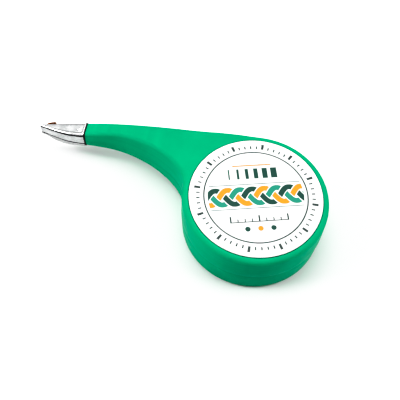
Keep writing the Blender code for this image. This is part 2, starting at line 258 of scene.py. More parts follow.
# Inks and colours; the two of a pair are mixed unevenly over the surface
GREENS = ((0.0, 0.325, 0.159), (0.0, 0.345, 0.169))
CLOUDY_GREEN = (0.0, 0.29, 0.142)
DRAWN_GREEN = (0.0, 0.26, 0.13)
PAPERS = ((0.7, 0.705, 0.7), (0.735, 0.74, 0.735))
PLATE_GREYS = ((0.83, 0.84, 0.84), (0.63, 0.64, 0.64))
# Darker copy of the plating for the tip's walls and tray: painted shade on the sides
WALL_SHADE_GREYS = ((0.57, 0.58, 0.58), (0.46, 0.47, 0.47))
# Near-white copy of the plating for the tip's rim and neck bead: a painted highlight
PAINTED_HIGHLIGHT_GREYS = ((0.97, 0.97, 0.97), (0.88, 0.88, 0.89))
# Near-black painted shade for the tip's crease, its gaps at the collar and the tray's lips and inside
PAINTED_SHADE_GREYS = ((0.006, 0.006, 0.007), (0.02, 0.02, 0.021))
WIRE_COPPERS = ((0.62, 0.29, 0.14), (0.28, 0.11, 0.05))
COIL_COPPERS = ((0.42, 0.14, 0.05), (0.74, 0.32, 0.13))
FLOOR_GREYS = ((0.79, 0.79, 0.79), (0.81, 0.81, 0.81))
DARK_INK = (0.006, 0.062, 0.043)
GREY_INK = (0.03, 0.05, 0.045)
MID_INK = (0.03, 0.22, 0.15)
AMBER_INK = (0.9, 0.44, 0.12)
# Grey of the painted shade along the tip's far edge
EDGE_SHADE_GREY = (0.3, 0.3, 0.31)
BLACK = (0.0, 0.0, 0.0)
WHITE = (1.0, 1.0, 1.0)

# Places and sizes of the label's print
PRINT_TURN = math.radians(14)
INK_EDGE = 0.03
RING_RADIUS = 14.7
RING_HALF = 0.2
DISC_EDGE = (13.6, 13.66)
TICK_COUNT = 60
TICK_LONG_EVERY = 5
TICK_MATCH = 0.25
TICK_FOOT = 15.9
TICK_LENGTH = 1.0
TICK_LONGER = 0.75
TICK_HALF = 0.18
TICK_WIDER = 0.14
PLAIT_REACH = 2.3
PLAIT_PERIOD = 10.5
PLAIT_HALF = 0.82
PLAIT_MARGIN = 0.3
PLAIT_TIE = 0.001
BORDER_PLACES = (-3.9, 3.9)
BORDER_HALF = 0.1
BAR_COUNT = 6
BAR_START = -6.9
BAR_STEP = 2.6
BAR_HALF = 0.2
BAR_WIDER = 0.14
BAR_PLACE = 7.4
BAR_REACH = 1.7
STRIPE_PLACE = 10.2
STRIPE_HALF = 0.18
STRIPE_REACH = 5.6
RULER_STEP = 2.0
RULER_LONG_EVERY = 4
RULER_SHIFT = 100.0
RULER_FOOT = -8.1
RULER_TICK = 1.0
RULER_LONGER = 0.9
RULER_HALF = 0.16
RULER_WIDER = 0.06
RULER_LINE_HALF = 0.14
RULER_REACH = 8.22
DOT_PLACES = (-3.6, 0.0, 3.6)
DOT_HEIGHT = -10.3
DOT_RADIUS = 0.75

# Shading of the tip's sheet: heights from its seam, and distances from its far edge
LOW_SHADE = (-0.6, 0.4)
EDGE_SHADE = (0.1, 1.6)
EDGE_SHARE = 0.45

# Studio
FLOOR_LEVEL = -0.02
FLOOR_HALF = 900.0
BACKDROP_RADIUS = 850.0
BACKDROP_SWEEP = 300.0
BACKDROP_HEIGHT = 900.0
BACKDROP_STEPS = 16
BACKDROP_SIDES = 96
BACKDROP_GLOW = (0.6, 0.95)
BACKDROP_RISE = 70.0
HORIZON = 0.05
ZENITH = 1.0
SKY_RISE = (0.0, 0.7)
CAMERA_SIDE = 0.08
SKY_SIDE = (-0.3, 0.5)
SATURATION = 1.15
CONTRAST = ((0.12, 0.07), (0.2, 0.135), (0.28, 0.24), (0.38, 0.38), (0.53, 0.53), (0.72, 0.8), (0.9, 0.97))

# Camera: its focal length and the picture's width are in pixels
FOCAL_LENGTH = 592.88
PICTURE_WIDTH = 400
SENSOR_WIDTH = 36.0
CAMERA_PLACE = (-6.02, -85.75, 161.28)
CAMERA_TURN = 6.5
CAMERA_PITCH = 60.28
CAMERA_ROLL = 3.013


def smooth(low, high, value):
    """Share of the way from low to high, eased at both ends."""
    share = min(1.0, max(0.0, (value - low) / (high - low)))
    return share * share * (3 - 2 * share)


def between(start, end, share):
    return start + (end - start) * share


def bezier(p0, p1, p2, p3, t):
    """Point and direction of a cubic curve in a plane."""
    a, b, c, d = (Vector(p) for p in (p0, p1, p2, p3))
    s = 1 - t
    point = a * s**3 + b * 3 * s * s * t + c * 3 * s * t * t + d * t**3
    slope = (b - a) * s * s + (c - b) * 2 * s * t + (d - c) * t * t
    return point, slope.normalized()


def ring(radius, height, steps):
    """Points round a circle about Z."""
    angles = [math.tau * i / steps for i in range(steps)]
    return [(radius * math.cos(a), radius * math.sin(a), height) for a in angles]


class Shape:
    """Collects points in millimetres and faces, and turns them into an object."""

    def __init__(self):
        self.points = []
        self.faces = []
        self.slots = []

    def add(self, points):
        first = len(self.points)
        self.points += [tuple(p) for p in points]
        return list(range(first, len(self.points)))

    def face(self, indices, slot=0):
        self.faces.append(tuple(indices))
        self.slots.append(slot)

    def strip(self, rows, closed=False, slot=0):
        """Quads between following rows of point indices; closed joins each row's ends."""
        for row, following in zip(rows, rows[1:]):
            count = len(row) if closed else len(row) - 1
            for i in range(count):
                k = (i + 1) % len(row)
                self.face((row[i], row[k], following[k], following[i]), slot)

    def turned(self, profile, steps, closed):
        """Surface of revolution about Z from (radius, height) pairs; an open profile ends in two caps."""
        rows = [self.add(ring(radius, height, steps)) for radius, height in profile]
        if closed:
            self.strip([*rows, rows[0]], closed=True)
        else:
            self.strip(rows, closed=True)
            self.face(rows[0])
            self.face(rows[-1])

    def block(self, low, high, slot):
        """Box between two corners."""
        x, y, z = zip(low, high)
        ends = [self.add([(x[0], y[0], h), (x[1], y[0], h), (x[1], y[1], h), (x[0], y[1], h)]) for h in z]
        self.strip(ends, closed=True, slot=slot)
        self.face(ends[0], slot)
        self.face(ends[1], slot)

    def finish(self, name, materials, sharp=SHARP):
        mesh = bpy.data.meshes.new(name)
        mesh.from_pydata([tuple(c * MM for c in p) for p in self.points], [], self.faces)
        for polygon, slot in zip(mesh.polygons, self.slots):
            polygon.material_index = slot
        work = bmesh.new()
        work.from_mesh(mesh)
        bmesh.ops.remove_doubles(work, verts=work.verts, dist=WELD * MM)
        bmesh.ops.dissolve_degenerate(work, edges=work.edges, dist=WELD * MM)
        bmesh.ops.recalc_face_normals(work, faces=work.faces)
        work.to_mesh(mesh)
        work.free()
        for material in materials:
            mesh.materials.append(material)
        mesh.shade_smooth()
        mesh.set_sharp_from_angle(angle=sharp)
        piece = bpy.data.objects.new(name, mesh)
        bpy.context.scene.collection.objects.link(piece)
        return piece


def inside(points, polygon):
    """For each point, whether it lies inside a closed polygon; both are arrays of pairs."""
    result = np.zeros(len(points), bool)
    following = np.roll(polygon, -1, axis=0)
    for (x1, y1), (x2, y2) in zip(polygon, following):
        if y1 == y2:
            continue
        crosses = (points[:, 1] < y1) != (points[:, 1] < y2)
        at = x1 + (points[:, 1] - y1) * (x2 - x1) / (y2 - y1)
        result ^= crosses & (points[:, 0] < at)
    return result


def fill(shape, outer, hole, height, step):
    """Triangles across the area between a loop and a hole, with inner points lifted to height(x, y)."""
    rim = [shape.points[i] for i in outer]
    gap = [shape.points[i] for i in hole]
    edge = np.array([p[:2] for p in rim])
    held = np.array([p[:2] for p in rim + gap])
    low, high = edge.min(0), edge.max(0)
    columns = np.arange(low[0] + step / 2, high[0], step)
    lines = np.arange(low[1] + step / 2, high[1], step)
    grid = np.array([(x, y) for x in columns for y in lines])
    grid = grid[inside(grid, edge)]
    if hole:
        grid = grid[~inside(grid, np.array([p[:2] for p in gap]))]
    room = np.array([np.min(np.hypot(*(held - point).T)) for point in grid])
    grid = grid[room > step * FILL_MARGIN]
    known = [Vector(p[:2]) for p in rim + gap] + [Vector(p) for p in grid]
    edges = [(i, (i + 1) % len(rim)) for i in range(len(rim))]
    edges += [(len(rim) + i, len(rim) + (i + 1) % len(gap)) for i in range(len(gap))]
    verts, _, faces, sources, _, _ = delaunay_2d_cdt(known, edges, [], 0, FILL_MERGE, True)
    names = list(outer) + list(hole)
    names += shape.add([(x, y, height(x, y)) for x, y in grid])
    centres = np.array([np.mean([verts[i][:] for i in face], axis=0) for face in faces])
    keep = inside(centres, edge)
    if hole:
        keep &= ~inside(centres, np.array([p[:2] for p in gap]))
    for face, good in zip(faces, keep):
        if good:
            shape.face([names[sources[i][0]] for i in face])


# Case


def case_outline():
    """Plan of the case at its seam, from the collar's near corner round the drum to its far corner.

    Each entry is a point, the direction into the case, and the stretch that it lies on.
    """
    entries = []

    def add(point, heading, stretch):
        entries.append((point, Vector((-heading.y, heading.x)), stretch))

    start = Vector((ARM_END_X + ARM_STRAIGHT, ARM_NEAR_Y))
    end = Vector((-DRUM_RADIUS, 0.0))
    out = start + Vector((ARM_SWEEP_OUT, 0.0))
    back = end + Vector((0.0, ARM_SWEEP_IN))
    for i in range(COLLAR_STEPS):
        spot = Vector((between(ARM_END_X, start.x, i / COLLAR_STEPS), ARM_NEAR_Y))
        add(spot, Vector((1.0, 0.0)), "near")
    for i in range(SWEEP_STEPS):
        add(*bezier(start, out, back, end, i / SWEEP_STEPS), "near")
    corner = Vector((ARM_END_X, ARM_FAR_Y))
    touch = math.atan2(corner.y, corner.x) - math.acos(DRUM_RADIUS / corner.length)
    for i in range(ROUND_STEPS):
        angle = between(math.pi, math.tau + touch, i / ROUND_STEPS)
        spot = Vector((math.cos(angle), math.sin(angle)))
        add(spot * DRUM_RADIUS, Vector((-spot.y, spot.x)), "drum")
    tangent = Vector((math.cos(touch), math.sin(touch))) * DRUM_RADIUS
    for i in range(FAR_STEPS):
        add(tangent.lerp(corner, i / FAR_STEPS), (corner - tangent).normalized(), "far")
    add(corner, Vector((-1.0, 0.0)), "far")
    return entries


def arm_top(x):
    share = max(0.0, (-x - ARM_FLAT) / (-ARM_END_X - ARM_FLAT))
    return CASE_TOP - (CASE_TOP - ARM_END_TOP) * share**2


def arm_bottom(x):
    share = min(1.0, (x - ARM_END_X) / (-ARM_END_X - DRUM_RADIUS))
    return ARM_END_BOTTOM - (ARM_END_BOTTOM - ARM_LIFT) * share**2


def outer_skin(x, y, up):
    """Height of the case's top or underside: the drum is level and eases into the arm."""
    past_edge = math.hypot(x, y) - DRUM_RADIUS
    if up:
        return between(CASE_TOP, arm_top(x), smooth(*TOP_EASE, past_edge))
    return between(0.0, arm_bottom(x), smooth(*UNDERSIDE_EASE, past_edge))


def wall_at(x):
    return between(COLLAR_WALL, DRUM_WALL, smooth(*WALL_EASE, x - ARM_END_X))


def inner_skin(x, y, up):
    """Height of the roof or floor inside the case."""
    if up:
        return min(ROOF, outer_skin(x, y, True) - wall_at(x))
    return outer_skin(x, y, False) + wall_at(x)


def edge_radius(point, stretch, up):
    """Rounding of the case's top or bottom edge at a place on its outline."""
    drum = DRUM_EDGE_TOP if up else DRUM_EDGE_LOW
    if stretch == "drum":
        return drum
    if stretch == "near" or not up:
        return between(COLLAR_EDGE, drum, smooth(ARM_END_X, -DRUM_RADIUS, point.x))
    grown = between(COLLAR_EDGE, FAR_EDGE, smooth(ARM_END_X, -DRUM_RADIUS, point.x))
    return between(grown, drum, smooth(-DRUM_RADIUS, FAR_EDGE_END_X, point.x))


def side_profile(point, inward, stretch, up):
    """Points up (or down) the wall from the seam, round the edge, to where the flat begins."""
    sign = 1 if up else -1
    seam = SEAM + sign * SEAM_GAP / 2
    edge = edge_radius(point, stretch, up)
    flat = point + inward * edge
    skin = outer_skin(flat.x, flat.y, up)
    draft = DRAFT
    if up and stretch == "near":
        draft = between(ARM_DRAFT, DRAFT, smooth(*DRAFT_EASE, point.x))
    lean = abs(skin - SEAM) * draft
    middle = SEAM_ROUND * CORNER_MIDDLE
    path = [(SEAM_ROUND, seam), (middle, seam + sign * middle)]
    for i in range(WALL_STEPS):
        height = between(seam + sign * SEAM_ROUND, skin - sign * edge, i / WALL_STEPS)
        path.append((abs(height - SEAM) * draft, height))
    for i in range(EDGE_STEPS + 1):
        turn = math.pi / 2 * i / EDGE_STEPS
        path.append((lean + edge * (1 - math.cos(turn)), skin - sign * edge * (1 - math.sin(turn))))
    inset = 0.0 if up else SEAM_STEP
    return [(*(point + inward * (depth + inset)), height) for depth, height in path]


def case_half(shape, up):
    """One hollow half of the case, without its ribs."""
    outline = case_outline()
    columns = [side_profile(*entry, up) for entry in outline]
    rows = [shape.add(row) for row in zip(*columns)]
    shape.strip(rows)

    seam = rows[0]
    seam_height = shape.points[seam[0]][2]
    foot = []
    head = []
    for point, inward, _ in outline:
        spot = point + inward * wall_at(point.x)
        foot.append((*spot, seam_height))
        head.append((*spot, inner_skin(spot.x, spot.y, up)))
    lining = [shape.add(foot), shape.add(head)]
    shape.strip([seam, lining[0]])
    shape.strip(lining)

    def end_edge(row, count):
        """Points across the collar's end, from the far side to the near side."""
        far, near = (Vector(shape.points[row[i]]) for i in (-1, 0))
        return shape.add([far.lerp(near, i / count) for i in range(1, count)])

    outer_end = end_edge(rows[-1], END_STEPS)
    inner_end = end_edge(lining[1], LINING_END_STEPS)
    hole = []
    if up:
        hole = recess(shape)
    fill(shape, rows[-1] + outer_end, hole, lambda x, y: outer_skin(x, y, up), FILL_STEP)
    fill(shape, lining[1] + inner_end, [], lambda x, y: inner_skin(x, y, up), LINING_STEP)

    near = [row[0] for row in rows]
    far = [row[-1] for row in rows]
    loop = near + outer_end[::-1] + far[::-1]
    loop += [lining[0][-1], lining[1][-1]] + inner_end + [lining[1][0], lining[0][0]]
    shape.face(loop)


def recess(shape):
    """Seat of the label with a soft edge; gives the loop where it meets the top."""
    profile = []
    for i in range(RECESS_STEPS + 1):
        turn = math.pi / 2 * i / RECESS_STEPS
        radius = RECESS_RADIUS + RECESS_EDGE * (1 - math.sin(turn))
        profile.append((radius, CASE_TOP - RECESS_EDGE * (1 - math.cos(turn))))
    profile.append((RECESS_RADIUS, RECESS_FLOOR - RECESS_GROOVE))
    profile.append((LABEL_RADIUS - RECESS_GROOVE, RECESS_FLOOR - RECESS_GROOVE))
    profile.append((LABEL_RADIUS - RECESS_GROOVE, RECESS_FLOOR))
    rows = [shape.add(ring(radius, height, DRUM_STEPS)) for radius, height in profile]
    shape.strip(rows, closed=True)
    shape.face(rows[-1])
    return rows[0]


def ring_rib(shape, outer, low, high):
    inner = outer - RIB_WALL
    shape.turned([(outer, high), (outer, low), (inner, low), (inner, high)], RIB_STEPS, closed=True)


def make_case(plastic):
    seat = (COIL_INNER + COIL_OUTER) / 2 + RIB_WALL / 2
    lower = Shape()
    case_half(lower, False)
    ring_rib(lower, HUB_OUTER, FLOOR - RIB_ROOT, HUB_TOP)
    ring_rib(lower, seat, FLOOR - RIB_ROOT, COIL_LOW.z - CLEARANCE)
    upper = Shape()
    case_half(upper, True)
    ring_rib(upper, seat, COIL_HIGH.z + CLEARANCE, ROOF + RIB_ROOT)
    ring_rib(upper, HUB_OUTER - RIB_WALL - CLEARANCE, HUB_TOP - HUB_LAP, ROOF + RIB_ROOT)
    for shape, node in ((lower, "case_lower"), (upper, "case_upper")):
        piece = shape.finish(f"{node}_shell", [plastic])
        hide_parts(node)
        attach(piece, "case")


# Label


def make_label(paper):
    shape = Shape()
    soft = LABEL_SOFT
    middle = soft * CORNER_MIDDLE
    profile = [(LABEL_RADIUS - LABEL_RING, LABEL_TOP), (LABEL_RADIUS - soft, LABEL_TOP)]
    profile += [(LABEL_RADIUS - middle, LABEL_TOP - middle), (LABEL_RADIUS, LABEL_TOP - soft)]
    profile.append((LABEL_RADIUS, LABEL_TOP - LABEL_THICKNESS))
    shape.turned(profile, DRUM_STEPS, closed=False)
    piece = shape.finish("label_disc", [paper])
    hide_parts("label")
    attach(piece, "case")


# Metal tip


def tip_share(x):
    return (TIP_BACK_X - x) / TIP_LENGTH


def tip_near_y(x):
    """Near edge of the tip: it swells a little past the collar, then narrows to the nose."""
    curve = (
        (TIP_BACK_X, ARM_AXIS_Y - TIP_BASE_HALF),
        (TIP_BACK_X - TIP_SWELL[0], ARM_AXIS_Y - TIP_SWELL[1]),
        (TIP_END_X + TIP_NARROWING[0], ARM_AXIS_Y - TIP_NARROWING[1]),
        (TIP_END_X, TIP_NEAR_Y),
    )
    low, high = 0.0, 1.0
    for _ in range(HALVINGS):
        middle = (low + high) / 2
        if bezier(*curve, middle)[0].x > x:
            low = middle
        else:
            high = middle
    return bezier(*curve, low)[0].y


def tip_far_y(x):
    return between(ARM_AXIS_Y + TIP_BASE_HALF, TIP_NEAR_Y + TIP_WIDTH, tip_share(x))


def tip_top(x):
    return SEAM + between(TIP_BASE_RISE, TIP_NOSE_RISE, tip_share(x))


def tip_bottom(x):
    """The tray's underside sinks to a low belly and then rises to the nose."""
    along = TIP_BACK_X - x
    if along < TIP_BELLY:
        return SEAM - between(TIP_BASE_DEPTH, TIP_BELLY_DEPTH, smooth(0, TIP_BELLY, along))
    return SEAM - between(TIP_BELLY_DEPTH, TIP_NOSE_DEPTH, smooth(TIP_BELLY, TIP_LENGTH, along))


def arc(centre, radii, start, sweep, steps):
    """Points along a stretch of an ellipse, from an angle in degrees and over a sweep."""
    points = []
    for i in range(steps + 1):
        turn = math.radians(start + sweep * i / steps)
        points.append((centre[0] + radii[0] * math.cos(turn), centre[1] + radii[1] * math.sin(turn)))
    return points


def plate_height(x, y, near, far):
    """Top of the plate: dished a little behind its rim, falling at the far edge, with one round dimple."""
    share = tip_share(x)
    past_neck = TIP_BACK_X - NECK - x
    across = (y - near) / max(far - near, HAIR)
    drop = between(*DISH, share) * smooth(0.0, DISH_SHARE, across) * smooth(*DISH_START, past_neck)
    drop += between(*FAR_FALL, share) * smooth(FAR_FALL_SHARE, 1.0, across) ** 2
    away = math.hypot(x - DIMPLE[0], y - DIMPLE[1]) / DIMPLE_RADIUS
    foot, crest, end = DIMPLE_LIP_SPAN
    drop += DIMPLE_DEPTH * (1 - smooth(DIMPLE_FLAT, 1.0, away))
    drop -= DIMPLE_LIP * smooth(foot, crest, away) * (1 - smooth(crest, end, away))
    wave = WAVE_HIGH * math.sin(x * WAVE_TURN + WAVE_START) * math.sin(across * math.pi)
    wave *= smooth(0, WAVE_SHARE, share)
    bead = BEAD_HIGH * (1 - smooth(0, BEAD_HALF, abs(past_neck - BEAD_HALF)))
    return tip_top(x) - drop + wave + bead


def cover_section(x):
    """Cross-section of the cover: near wall, crease painted with shade, rim painted with a highlight, dished
    plate and far wall.
    """
    share = tip_share(x)
    near = tip_near_y(x)
    far = tip_far_y(x)
    top = tip_top(x)
    low = TIP_SEAM + TIP_GAP / 2
    rim_high = between(*RIM_HIGH, share)
    rim_wide = between(*RIM_WIDE, share)
    rim_foot = near + between(*CREASE, share)
    wall_top = top - rim_high - between(*RIM_STEP, share)
    crease = wall_top - CREASE_DEPTH
    path = [(near, low), (near, wall_top - CHAMFER), (near + CHAMFER, wall_top)]
    path += [(near + CREASE_START, crease), (rim_foot + CHAMFER, crease), (rim_foot, top - rim_high)]
    left = rim_foot + rim_wide
    path += arc((left, top - rim_high), (rim_wide, rim_high), 180, -90, RIM_STEPS)[1:]
    for i in range(1, PLATE_STEPS + 1):
        y = between(left, far, i / PLATE_STEPS)
        path.append((y, plate_height(x, y, left, far)))
    under = crease - SHEET
    opened = smooth(0.0, MOUTH_EASE, MOUTH_BACK_X - x)
    far_low = between(low, under, opened)
    inner_near = min(near + SHEET, far - SHEET)
    inner_far = max(far - SHEET, inner_near)
    path += [(far, far_low), (inner_far, min(far_low, under)), (inner_far, under)]
    path += [(inner_near, under), (inner_near, low)]
    return [(x, y, z) for y, z in path]


def cover_slot(i, x):
    """Material slot of the face after point i of the cover's section at x."""
    rim_end = RIM_FIRST + RIM_STEPS
    # The crease gets the near-black painted shade
    if CREASE_FIRST <= i < RIM_FIRST:
        return PAINTED_SHADE
    # The rim and, near the neck, the bead get the painted highlight
    if RIM_FIRST <= i < rim_end:
        return PAINTED_HIGHLIGHT
    if rim_end <= i < rim_end + PLATE_STEPS:
        in_bead = x > TIP_BACK_X - NECK - 2 * BEAD_HALF
        return PAINTED_HIGHLIGHT if in_bead else CHROME
    return WALL


def tray_section(x):
    """Cross-section of the tray: a channel, closed at the nose, with lips inside the cover's walls that are
    painted dark as shade.
    """
    near = tip_near_y(x) - TRAY_PROUD
    far = tip_far_y(x) - TRAY_INSET
    high = TIP_SEAM - TIP_GAP / 2
    low = tip_bottom(x)
    middle = (near + far) / 2
    corner = min(TRAY_CORNER, (far - near) / 2 - 2 * HAIR)
    path = [(near, high)]
    path += arc((near + corner, low + corner), (corner, corner), 180, 90, CORNER_STEPS)
    path += arc((far - corner, low + corner), (corner, corner), 270, 90, CORNER_STEPS)
    closed = smooth(-TRAY_CLOSING, 0.0, MOUTH_BACK_X - x)
    inner_far = between(far - TRAY_FAR_WALL, middle + HAIR, closed)
    inner_near = between(near + TRAY_NEAR_WALL, middle - HAIR, closed)
    floor = between(low + SHEET, high - 2 * HAIR, closed)
    lip = high + LIP_HIGH * (1 - smooth(*LIP_FADE, tip_share(x)))
    lip_near = min(near + LIP_NEAR, inner_near - HAIR)
    lip_far = max(far - LIP_FAR, inner_far + HAIR)
    path += [(far, high), (lip_far, high), (lip_far, lip), (inner_far, lip), (inner_far, floor)]
    path += [(inner_near, floor), (inner_near, lip), (lip_near, lip), (lip_near, high)]
    return [(x, y, z) for y, z in path]


def tray_slot(i, _):
    """Material slot of the face after point i of the tray's section: its lips and inside get the near-black
    painted shade.
    """
    return PAINTED_SHADE if i > 2 * CORNER_STEPS + 2 else WALL


def tip_stations():
    return [between(TIP_BACK_X - NECK, TIP_END_X, i / TIP_STEPS) for i in range(TIP_STEPS + 1)]


def loft(shape, section, slot):
    """Closed solid through the sections at the tip's stations; slot(i, x) picks each face's material."""
    rows = [shape.add(section(x)) for x in tip_stations()]
    for x, row, following in zip(tip_stations(), rows, rows[1:]):
        for i in range(len(row)):
            k = (i + 1) % len(row)
            shape.face((row[i], row[k], following[k], following[i]), slot(i, x))
    # The back end at the neck gets the near-black painted shade of the gap at the collar
    shape.face(rows[0], PAINTED_SHADE)
    shape.face(rows[-1], WALL)


def make_tip(materials):
    half = (ARM_FAR_Y - ARM_NEAR_Y) / 2 - COLLAR_WALL - CLEARANCE
    front = TIP_BACK_X - NECK - NECK_LAP
    back = ARM_END_X + TONGUE_REACH
    near = ARM_AXIS_Y - half
    far = ARM_AXIS_Y + half
    neck_near = ARM_NEAR_Y + NECK_INSET
    neck_far = ARM_FAR_Y - NECK_INSET
    neck_back = ARM_END_X - NECK_GAP
    cover = Shape()
    loft(cover, cover_section, cover_slot)
    low = TIP_SEAM + TIP_GAP / 2
    roof = ARM_END_TOP - COLLAR_WALL - CLEARANCE
    # Neck and tongue blocks are painted near-black, standing in for the shade in the gap at the collar
    cover.block((front, neck_near, low), (neck_back, neck_far, ARM_END_TOP - NECK_INSET), PAINTED_SHADE)
    cover.block((front, near, roof - SHEET), (back, far, roof), PAINTED_SHADE)
    cover.block((front, near, low), (back, near + SHEET, roof - SHEET), PAINTED_SHADE)
    cover.block((front, far - SHEET, low), (back, far, roof - SHEET), PAINTED_SHADE)
    tray = Shape()
    loft(tray, tray_section, tray_slot)
    base = ARM_END_BOTTOM + COLLAR_WALL + CLEARANCE
    neck_low = ARM_END_BOTTOM + NECK_INSET
    # The tray's neck and tongue blocks get the same painted shade
    tray.block((front, neck_near, neck_low), (neck_back, neck_far, TIP_SEAM - TIP_GAP / 2), PAINTED_SHADE)
    tray.block((front, near, base), (back, far, base + SHEET), PAINTED_SHADE)
    for shape, name, node in ((cover, "nozzle_cover", "nozzle_upper"), (tray, "nozzle_tray", "nozzle_lower")):
        piece = shape.finish(name, materials)
        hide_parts(node)
        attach(piece, "case")


# Braid


def run_frame(along):
    """Centre and heading of the braid in plan at a length from its inner end."""
    straight = -BEND_X
    bend = BEND_RADIUS * BEND_ANGLE
    if along <= straight:
        return Vector((-along, BRAID_Y)), Vector((-1.0, 0.0))
    turn = min(along - straight, bend) / BEND_RADIUS
    centre = Vector((BEND_X, BRAID_Y + BEND_RADIUS))
    spot = centre + Vector((-math.sin(turn), -math.cos(turn))) * BEND_RADIUS
    heading = Vector((-math.cos(turn), math.sin(turn)))
    return spot + heading * max(0.0, along - straight - bend), heading


def girth_point(place):
    """Point and outward direction on the flattened tube's section, as (across, out) pairs."""
    place %= GIRTH
    half = math.pi * CORE
    if place < FLAT:
        return Vector((place - FLAT / 2, CORE)), Vector((0.0, 1.0))
    if place < FLAT + half:
        turn = (place - FLAT) / CORE
        out = Vector((math.sin(turn), math.cos(turn)))
        return Vector((FLAT / 2, 0.0)) + out * CORE, out
    if place < 2 * FLAT + half:
        return Vector((FLAT / 2 - (place - FLAT - half), -CORE)), Vector((0.0, -1.0))
    turn = (place - 2 * FLAT - half) / CORE
    out = Vector((-math.sin(turn), -math.cos(turn)))
    return Vector((-FLAT / 2, 0.0)) + out * CORE, out


def strand_spot(along, carrier, side):
    """Middle of a strand and its outward direction, in the part's frame."""
    turns = carrier / CARRIERS + side * along * LAY / GIRTH
    section, out = girth_point(turns * GIRTH)
    section = section + out * WEAVE * side * math.cos(math.tau * turns * CARRIERS)
    spot, heading = run_frame(along)
    sideways = Vector((-heading.y, heading.x))
    place = Vector((*(spot + sideways * section.y), BRAID_Z + section.x))
    outward = Vector((*(sideways * out.y), out.x)).normalized()
    return place, outward


def add_strand(shape, carrier, side, total):
    """One flat strand of three wires, laid along its woven path and cut a little short."""
    total -= STRAND_FRAY * abs(math.sin(carrier * FRAY_TURN + side))
    steps = round(total / BRAID_STEP)
    rows = []
    for i in range(steps + 1):
        along = total * i / steps
        place, out = strand_spot(along, carrier, side)
        ahead, _ = strand_spot(min(along + COURSE_STEP, total), carrier, side)
        behind, _ = strand_spot(max(along - COURSE_STEP, 0.0), carrier, side)
        course = (ahead - behind).normalized()
        across = course.cross(out).normalized()
        section = []
        for share, lift in STRAND_SECTION:
            section.append(place + across * share * STRAND_WIDTH / 2 + out * lift * STRAND_HALF)
        rows.append(shape.add(section))
    shape.strip(rows, closed=True)
    shape.face(rows[0])
    shape.face(rows[-1])


def make_braid(copper):
    total = -BEND_X + BEND_RADIUS * BEND_ANGLE + STUB_LENGTH
    shape = Shape()
    for carrier in range(CARRIERS):
        for side in (1, -1):
            add_strand(shape, carrier, side, total)
    run = shape.finish("braid_woven", [copper], sharp=math.radians(80))
    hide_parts("braid_run")
    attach(run, "braid")


def make_coil(wound):
    """Wound braid: a ring with grooves between its turns, and between the lanes round its outside."""
    down = COIL_LANES * GROOVE_STEPS
    across = COIL_TURNS * GROOVE_STEPS

    def dip(i, sharpness):
        return COIL_GROOVE * abs(math.cos(math.pi * i / GROOVE_STEPS)) ** sharpness

    profile = []
    for i in range(down + 1):
        profile.append((COIL_OUTER - dip(i, LANE_SHARPNESS), between(COIL_HIGH.z, COIL_LOW.z, i / down)))
    for i in range(1, across):
        profile.append((between(COIL_OUTER, COIL_INNER, i / across), COIL_LOW.z + dip(i, TURN_SHARPNESS)))
    for i in range(down + 1):
        profile.append((COIL_INNER, between(COIL_LOW.z, COIL_HIGH.z, i / down)))
    for i in range(1, across):
        profile.append((between(COIL_INNER, COIL_OUTER, i / across), COIL_HIGH.z - dip(i, TURN_SHARPNESS)))
    shape = Shape()
    shape.turned(profile, COIL_STEPS, closed=True)
    coil = shape.finish("braid_wound", [wound], sharp=math.radians(60))
    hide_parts("braid_coil")
    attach(coil, "coil")


# Materials


